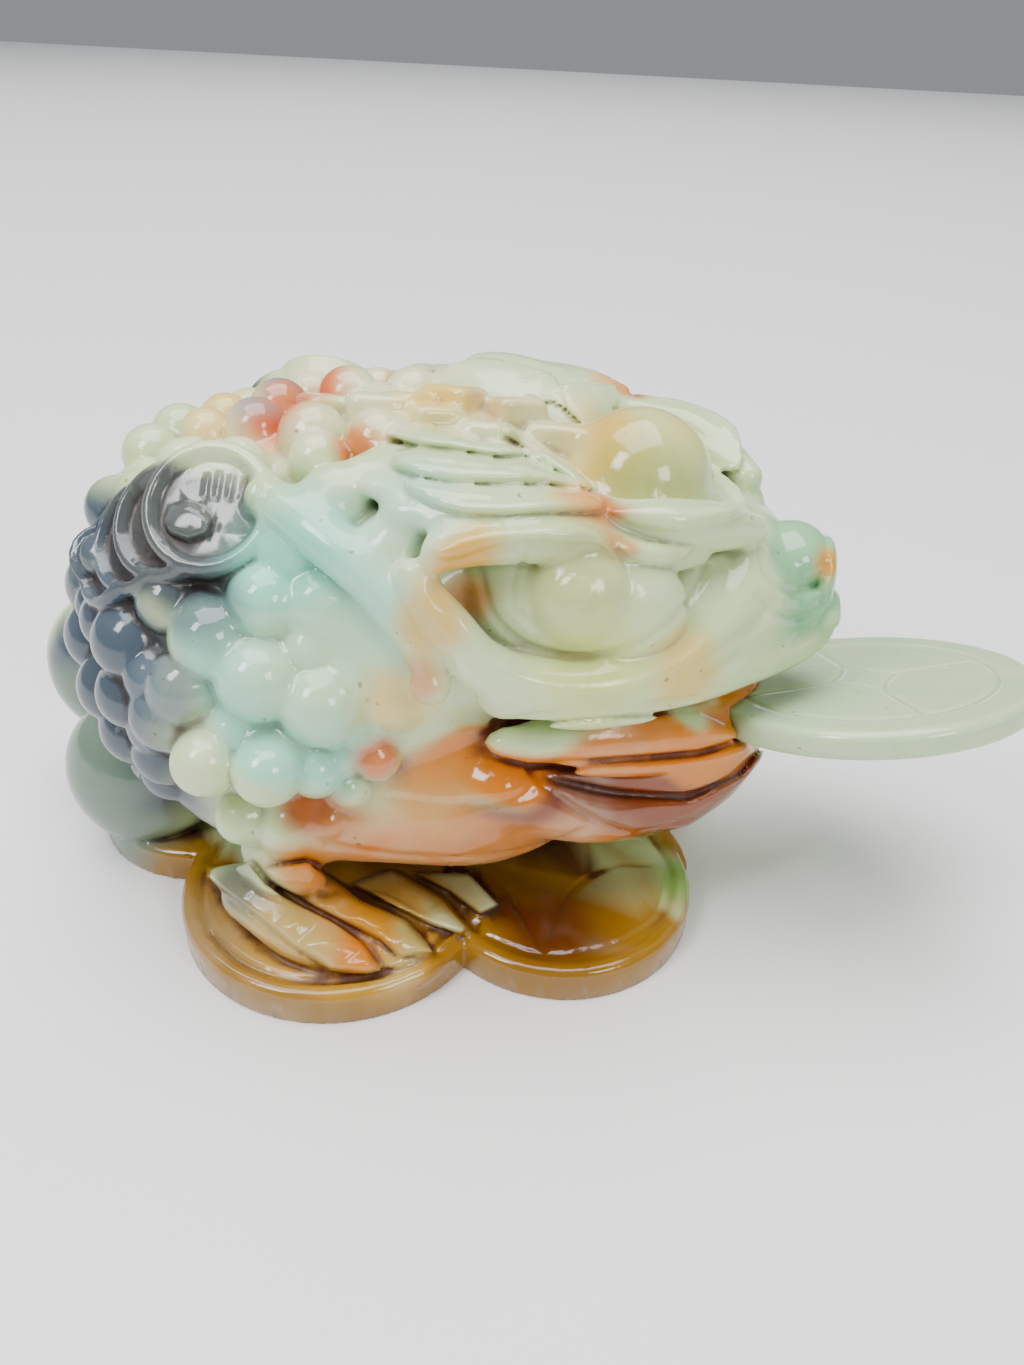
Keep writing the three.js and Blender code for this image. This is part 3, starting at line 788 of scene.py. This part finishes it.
def cad_box_of(node):
    """The lowest and highest corner of a CAD node in millimetres."""
    return [np.array(corner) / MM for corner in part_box(node)]


def coin_stone(pitch):
    """The loose coin as if it lay flat at the origin."""
    reach, half = COIN["radius"] + 1.5, COIN["thickness"] / 2 + 1.5
    stone = Stone((-reach, -reach, -half), (reach, reach, half), pitch)
    stone.disc((0, 0, 0), (0, 0, 1), COIN["radius"], COIN["thickness"], COIN["round"], 0.1)
    top = COIN["thickness"] / 2
    around = np.linspace(0, 2 * math.pi, 97)
    lines = [np.stack([COIN_RING["radius"] * f(around) for f in (np.cos, np.sin)] + [np.full(97, top)], axis=1)]
    corners = []
    for quarter in range(4):
        angle = COIN_LOZENGE["turn"] + quarter * math.pi / 2
        reach = COIN_LOZENGE["reach"] if quarter % 2 == 0 else COIN_LOZENGE["waist"]
        heading = np.array([math.cos(angle), math.sin(angle), 0])
        corners.append(heading * reach + (0, 0, top))
        lines.append(curve([corners[-1], heading * COIN_RING["radius"] + (0, 0, top)], 2)[0])
    for a, b in zip(corners, corners[1:] + corners[:1]):
        bowed = (a + b) / 2 * (0.86, 0.86, 1)
        lines.append(curve([a, bowed, b], 2)[0])
    stone.engrave(lines, COIN_RING["width"] * 2, COIN_RING["depth"])
    return stone


# The colours of the toad, with painted shade under the jaw and painted shadow on the bed. A zone has a middle
# and half sizes in millimetres, a colour, a strength and how strongly painted shade darkens its creases; a spot
# has its pixel in the photograph, a radius in millimetres, a colour and a strength, and later ones lie over earlier
# ones.
CELADON = srgb(196, 214, 164)
ZONES = [
    ((36, 2, 56), (18, 18, 22), srgb(150, 212, 190), 0.9, 0.3),
    ((30, 47, 40), (34, 34, 40), srgb(70, 82, 94), 1.0, 1.0),
    ((28, 21, 67), (12, 15, 13), srgb(70, 74, 80), 0.95, 1.0),
    ((6, 12, 84), (20, 30, 15), srgb(222, 222, 178), 0.9, 0.3),
    ((0, -62, 57), (12, 11, 12), srgb(126, 186, 140), 0.85, 0.3),
    ((16, -38, 37), (36, 38, 8.5), srgb(206, 120, 6), 1.0, 0.9),
    # Painted shade under the jaw and the throat: a darker copy of the amber above.
    ((14, -34, 26), (42, 40, 9), srgb(128, 56, 8), 1.0, 0.9),
    ((22, -12, 20), (36, 32, 13), srgb(196, 118, 44), 0.9, 0.7),
    ((0, 0, 0), (300, 300, 9), srgb(146, 104, 16), 1.0, 0.8),
    ((40, 2, 9), (16, 22, 9), srgb(186, 138, 34), 0.8, 0.9),
    # Painted shadow: a near-black sheet on the bed's top under the chest and the throat.
    ((14, -28, 6), (17, 17, 2.4), srgb(84, 38, 8), 1.0, 1.0),
    ((14, 48, 12), (22, 20, 22), srgb(104, 126, 108), 1.0, 0.5),
]
SPOTS = [
    ((320, 386), 9, srgb(214, 92, 20), 0.95),
    ((262, 398), 7, srgb(128, 130, 134), 0.8),
    ((290, 400), 5, srgb(214, 120, 50), 0.8),
    ((212, 414), 8, srgb(226, 196, 110), 0.9),
    ((360, 453), 6, srgb(206, 112, 30), 0.9),
    ((455, 392), 12, srgb(232, 190, 76), 0.85),
    ((545, 410), 8, srgb(226, 184, 84), 0.7),
    ((500, 405), 5, srgb(216, 130, 50), 0.7),
    ((600, 440), 12, srgb(216, 168, 44), 0.9),
    ((655, 480), 12, srgb(168, 170, 84), 0.7),
    ((690, 430), 8, srgb(206, 196, 110), 0.7),
    ((602, 508), 5, srgb(190, 84, 10), 0.95),
    ((580, 496), 6, srgb(222, 160, 90), 0.8),
    ((620, 546), 4, srgb(186, 90, 14), 0.9),
    ((460, 560), 7, srgb(216, 156, 36), 0.9),
    ((476, 600), 5, srgb(196, 124, 30), 0.9),
    ((400, 500), 10, srgb(176, 216, 190), 0.8),
    ((520, 440), 14, srgb(214, 222, 180), 0.7),
    ((300, 560), 14, srgb(130, 212, 190), 0.9),
    ((330, 660), 14, srgb(190, 218, 176), 0.8),
    ((430, 620), 7, srgb(208, 160, 50), 0.8),
    ((425, 678), 5, srgb(190, 124, 50), 0.9),
    ((400, 700), 8, srgb(222, 190, 104), 0.85),
    ((378, 757), 5, srgb(206, 100, 16), 0.9),
    ((314, 805), 7, srgb(176, 84, 8), 0.95),
    ((300, 870), 6, srgb(196, 120, 14), 0.9),
    ((578, 590), 12, srgb(184, 190, 120), 0.8),
    ((600, 680), 12, srgb(202, 212, 118), 0.8),
    ((690, 676), 9, srgb(216, 180, 60), 0.8),
    ((800, 600), 8, srgb(120, 178, 130), 0.7),
    ((833, 560), 4, srgb(206, 140, 40), 0.9),
    ((228, 886), 8, srgb(112, 114, 92), 0.95),
    ((350, 930), 9, srgb(196, 132, 20), 0.8),
    ((350, 955), 5, srgb(206, 118, 6), 0.9),
    ((410, 935), 5, srgb(176, 164, 96), 0.8),
    # Painted shadow on the bed under the throat.
    ((560, 925), 13, srgb(84, 34, 4), 0.95),
    ((682, 880), 7, srgb(130, 166, 80), 0.95),
    ((430, 800), 10, srgb(206, 140, 70), 0.8),
    ((350, 830), 8, srgb(196, 104, 20), 0.7),
    ((204, 610), 9, srgb(72, 80, 90), 0.8),
    ((160, 700), 9, srgb(96, 112, 124), 0.8),
]


def wander(points, size):
    """Points moved about by up to this size in slow waves, so that the zones' edges aren't round."""
    moved = points.copy()
    for axis in range(3):
        for wave, share in ((0.11, 0.5), (0.23, 0.3), (0.51, 0.2)):
            across = points[:, (axis + 1) % 3] * wave + points[:, (axis + 2) % 3] * wave * 0.7
            moved[:, axis] += size * share * np.sin(across + 1.7 * axis + 9 * wave)
    return moved


def corners_of(piece):
    points = np.empty(len(piece.data.vertices) * 3)
    piece.data.vertices.foreach_get("co", points)
    return points.reshape(-1, 3)


def add_colour(piece, name, colours):
    """Stores one linear colour for each corner."""
    attribute = piece.data.color_attributes.new(name, "FLOAT_COLOR", "POINT")
    attribute.data.foreach_set("color", np.c_[colours, np.ones(len(colours))].astype(np.float32).ravel())


def spread_out(values, reach):
    """The mean of the values in a box that reaches this many steps each way."""
    for axis in range(3):
        padded = np.concatenate([np.take(values, [0] * (reach + 1), axis), values, np.take(values, [-1] * reach, axis)], axis)
        total = np.cumsum(padded, axis=axis, dtype=np.float32)
        count = values.shape[axis]
        ahead = np.take(total, range(2 * reach + 1, 2 * reach + 1 + count), axis)
        behind = np.take(total, range(count), axis)
        values = (ahead - behind) / (2 * reach + 1)
    return values


def crowding(stone, points, reach):
    """The share of the space round each point that is stone, from -1 on a point through 0 on a flat to 1 in a crack."""
    steps = max(round(reach / stone.pitch / 2), 1)
    filled = np.clip(0.5 - stone.values / stone.pitch, 0, 1)
    spread = Stone(stone.low, stone.low, stone.pitch)
    spread.count, spread.values = stone.count, spread_out(spread_out(filled, steps), steps)
    return 2 * spread.sample(points) - 1


def paint_toad(piece, stone):
    """The toad's zones of colour and the painted shade of its creases, stored on its corners."""
    points = corners_of(piece) / MM
    creases = np.clip(1.3 * crowding(stone, points, 1.6) + 1.2 * crowding(stone, points, 4), 0, 1)
    spots = stone.seat([pixel for pixel, *_ in SPOTS])
    folded = np.c_[np.abs(points[:, 0]), points[:, 1:]]
    tone = np.tile(CELADON, (len(points), 1))
    shade_strength = np.full((len(points), 1), 0.4)

    def share_of(at, radii, strength, soft, size):
        away = np.linalg.norm((wander(folded, size) - at) / radii, axis=1)
        share = np.clip((1 - away) / soft, 0, 1)
        return (strength * share * share * (3 - 2 * share))[:, None]

    for at, radii, colour, strength, zone_shade in ZONES:
        share = share_of(np.array(at), np.array(radii), strength, 0.25, 3.5)
        tone = tone * (1 - share) + share * np.array(colour)
        shade_strength = shade_strength * (1 - share) + share * zone_shade
    for place, (_, radius, colour, strength) in zip(spots, SPOTS):
        if not np.isnan(place).any():
            share = share_of(place * (np.sign(place[0]), 1, 1), radius, strength, 0.7, 1.4)
            tone = tone * (1 - share) + share * np.array(colour)
    add_colour(piece, "tone", tone)
    # Painted shade for the creases: how crowded each corner is by stone, times the shade strength of its zone.
    add_colour(piece, "crease", np.repeat(creases[:, None] * shade_strength, 3, axis=1))


def paint_coin(piece, stone):
    # Painted shade darkens the coin's engraved lines and the creases of its rim.
    creases = np.clip(3 * crowding(stone, corners_of(piece) / MM, 1.2), 0, 1)
    add_colour(piece, "crease", np.repeat(creases[:, None], 3, axis=1))


class Nodes:
    """The node tree of a new material."""

    def __init__(self, name):
        self.material = bpy.data.materials.new(name)
        self.material.use_nodes = True
        self.tree = self.material.node_tree
        self.shader = self.tree.nodes["Principled BSDF"]

    def add(self, kind, inputs=(), **settings):
        node = self.tree.nodes.new("ShaderNode" + kind)
        for key, value in settings.items():
            setattr(node, key, value)
        for key, value in dict(inputs).items():
            if isinstance(value, bpy.types.NodeSocket):
                self.tree.links.new(value, node.inputs[key])
            else:
                node.inputs[key].default_value = value
        return node

    def noise(self, place, scale, detail=4.0, roughness=0.55, distortion=0.0):
        inputs = {"Vector": place, "Scale": scale, "Detail": detail, "Roughness": roughness, "Distortion": distortion}
        return self.add("TexNoise", inputs).outputs["Fac"]

    def ramp(self, value, low, high, start=0.0, stop=1.0):
        """value from low to high as start to stop, eased at both ends."""
        inputs = {"Value": value, "From Min": low, "From Max": high, "To Min": start, "To Max": stop}
        return self.add("MapRange", inputs, interpolation_type="SMOOTHSTEP").outputs["Result"]

    def times(self, a, b):
        node = self.add("Math", operation="MULTIPLY")
        for socket, value in zip(node.inputs, (a, b)):
            if isinstance(value, bpy.types.NodeSocket):
                self.tree.links.new(value, socket)
            else:
                socket.default_value = value
        return node.outputs[0]

    def mix(self, share, a, b, blend="MIX"):
        node = self.add("Mix", data_type="RGBA", blend_type=blend)
        for socket, value in zip((node.inputs[0], node.inputs[6], node.inputs[7]), (share, a, b)):
            if isinstance(value, bpy.types.NodeSocket):
                self.tree.links.new(value, socket)
            elif isinstance(value, tuple):
                socket.default_value = (*value, 1)
            else:
                socket.default_value = value
        return node.outputs[2]

    def wire(self, value, socket):
        self.tree.links.new(value, self.shader.inputs[socket])


def stone_material(name, tone, shade_depth, scatter):
    """Polished stone with clouds, veins, specks and painted shade in its creases. tone is a colour, or None for the
    toad's own.
    """
    n = Nodes(name)
    place = n.add("TexCoord").outputs["Object"]
    crease = n.add("Attribute", attribute_name="crease").outputs["Fac"]
    base = tone or n.add("Attribute", attribute_name="tone").outputs["Color"]
    clouds = n.noise(place, 45, 3, 0.5, 0.4)
    veins = n.noise(place, 120, 4, 0.55, 0.8)
    fine = n.noise(place, 900, 3, 0.5)
    specks = n.noise(place, 640, 1, 0.4)
    pale = n.mix(n.ramp(clouds, 0.5, 0.75, 0, 0.3), base, n.mix(0.5, base, srgb(238, 240, 222)))
    warm = n.mix(n.ramp(veins, 0.54, 0.72, 0, 0.3), pale, n.mix(1.0, pale, srgb(250, 234, 190), "MULTIPLY"))
    deep = n.mix(n.ramp(veins, 0.48, 0.3, 0, 0.3), warm, n.mix(1.0, warm, srgb(222, 236, 224), "MULTIPLY"))
    # Painted shade: the colour is darkened towards brown where the crease attribute marks creases and hollows, in
    # patches by the veins; the same mask also makes them rougher.
    crease_mask = n.times(n.ramp(crease, 0.12, 0.6), n.ramp(veins, 0.3, 0.6, 0.5, 1.0))
    shaded = n.mix(n.times(crease_mask, shade_depth), deep, n.mix(1.0, deep, srgb(116, 66, 30), "MULTIPLY"))
    spotted = n.mix(n.ramp(specks, 0.77, 0.8, 0, 0.5), shaded, n.mix(1.0, shaded, srgb(110, 84, 60), "MULTIPLY"))
    n.wire(spotted, "Base Color")
    polish = n.ramp(clouds, 0.35, 0.75, 0.08, 0.2)
    rough = n.add("Math", operation="MAXIMUM")
    n.tree.links.new(polish, rough.inputs[0])
    n.tree.links.new(n.times(crease_mask, 0.6), rough.inputs[1])
    n.wire(rough.outputs[0], "Roughness")
    ripple = n.noise(place, 260, 3, 0.5)
    height = n.add("Math", {0: ripple, 1: 0.5, 2: fine}, operation="MULTIPLY_ADD").outputs[0]
    bump = n.add("Bump", {"Height": height, "Distance": 0.0001, "Strength": 0.3})
    n.wire(bump.outputs["Normal"], "Normal")
    n.shader.inputs["Subsurface Weight"].default_value = scatter
    n.shader.inputs["Subsurface Radius"].default_value = (1.0, 0.85, 0.6)
    n.shader.inputs["Subsurface Scale"].default_value = 0.0018
    n.shader.inputs["IOR"].default_value = 1.57
    return n.material


def plain_material(name, colour, roughness):
    n = Nodes(name)
    n.shader.inputs["Base Color"].default_value = (*colour, 1)
    n.shader.inputs["Roughness"].default_value = roughness
    return n.material


def finish_piece(piece, node, material):
    piece.data.materials.append(material)
    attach(piece, "root")
    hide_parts(node)


def make_toad():
    stone = toad_stone(TOAD_PITCH)
    piece = stone.mesh("toad_stone", TOAD_TRIANGLES)
    paint_toad(piece, stone)
    finish_piece(piece, "toad", stone_material("toad stone", None, 0.95, 0.3))


def make_coin():
    stone = coin_stone(COIN_PITCH)
    piece = stone.mesh("coin_stone", COIN_TRIANGLES)
    paint_coin(piece, stone)
    turn = Vector((0, 0, 1)).rotation_difference(Vector(COIN["lean"]).normalized()).to_matrix().to_4x4()
    piece.data.transform(Matrix.Translation(Vector(COIN["at"]) * MM) @ turn)
    finish_piece(piece, "mouth_coin", stone_material("coin stone", srgb(184, 208, 166), 0.5, 0.4))


def make_studio():
    """The floor, the lights and the camera."""
    bpy.ops.mesh.primitive_plane_add(size=6)
    floor = bpy.context.object
    floor.name = "floor"
    floor.data.materials.append(plain_material("floor paper", srgb(236, 236, 236), 0.7))
    world = bpy.data.worlds.new("studio")
    world.use_nodes = True
    world.node_tree.nodes["Background"].inputs["Color"].default_value = (*srgb(232, 236, 242), 1)
    world.node_tree.nodes["Background"].inputs["Strength"].default_value = 0.35
    bpy.context.scene.world = world
    lights = [
        ("overhead", (0.3, 0.2, 2.6), (2.4, 2.4), 130.0, srgb(255, 255, 255)),
        ("window", (-0.3, 0.25, 0.5), (0.16, 0.24), 2.2, srgb(255, 255, 255)),
        ("front window", (-0.4, -0.45, 0.42), (0.2, 0.2), 1.6, srgb(255, 252, 246)),
    ]
    for name, at, size, power, colour in lights:
        light = bpy.data.lights.new(name, "AREA")
        light.shape = "RECTANGLE"
        light.size, light.size_y = size
        light.energy = power
        light.color = colour
        lamp = bpy.data.objects.new(name, light)
        lamp.location = at
        lamp.rotation_euler = (Vector((0, 0, 0.04)) - Vector(at)).to_track_quat("-Z", "Y").to_euler()
        bpy.context.scene.collection.objects.link(lamp)
    right, up, forward = camera_axes()
    lens = bpy.data.cameras.new("camera")
    lens.sensor_fit = "VERTICAL"
    lens.sensor_height = 24
    lens.lens = lens.sensor_height * FOCAL_PIXELS / FRAME_HEIGHT
    lens.clip_start = 0.01
    camera = bpy.data.objects.new("camera", lens)
    bpy.context.scene.collection.objects.link(camera)
    turn = Matrix((right, up, -forward)).transposed().to_4x4()
    camera.matrix_world = Matrix.Translation(Vector(CAMERA_AT) * MM) @ turn
    bpy.context.scene.camera = camera


make_studio()
make_toad()
make_coin()
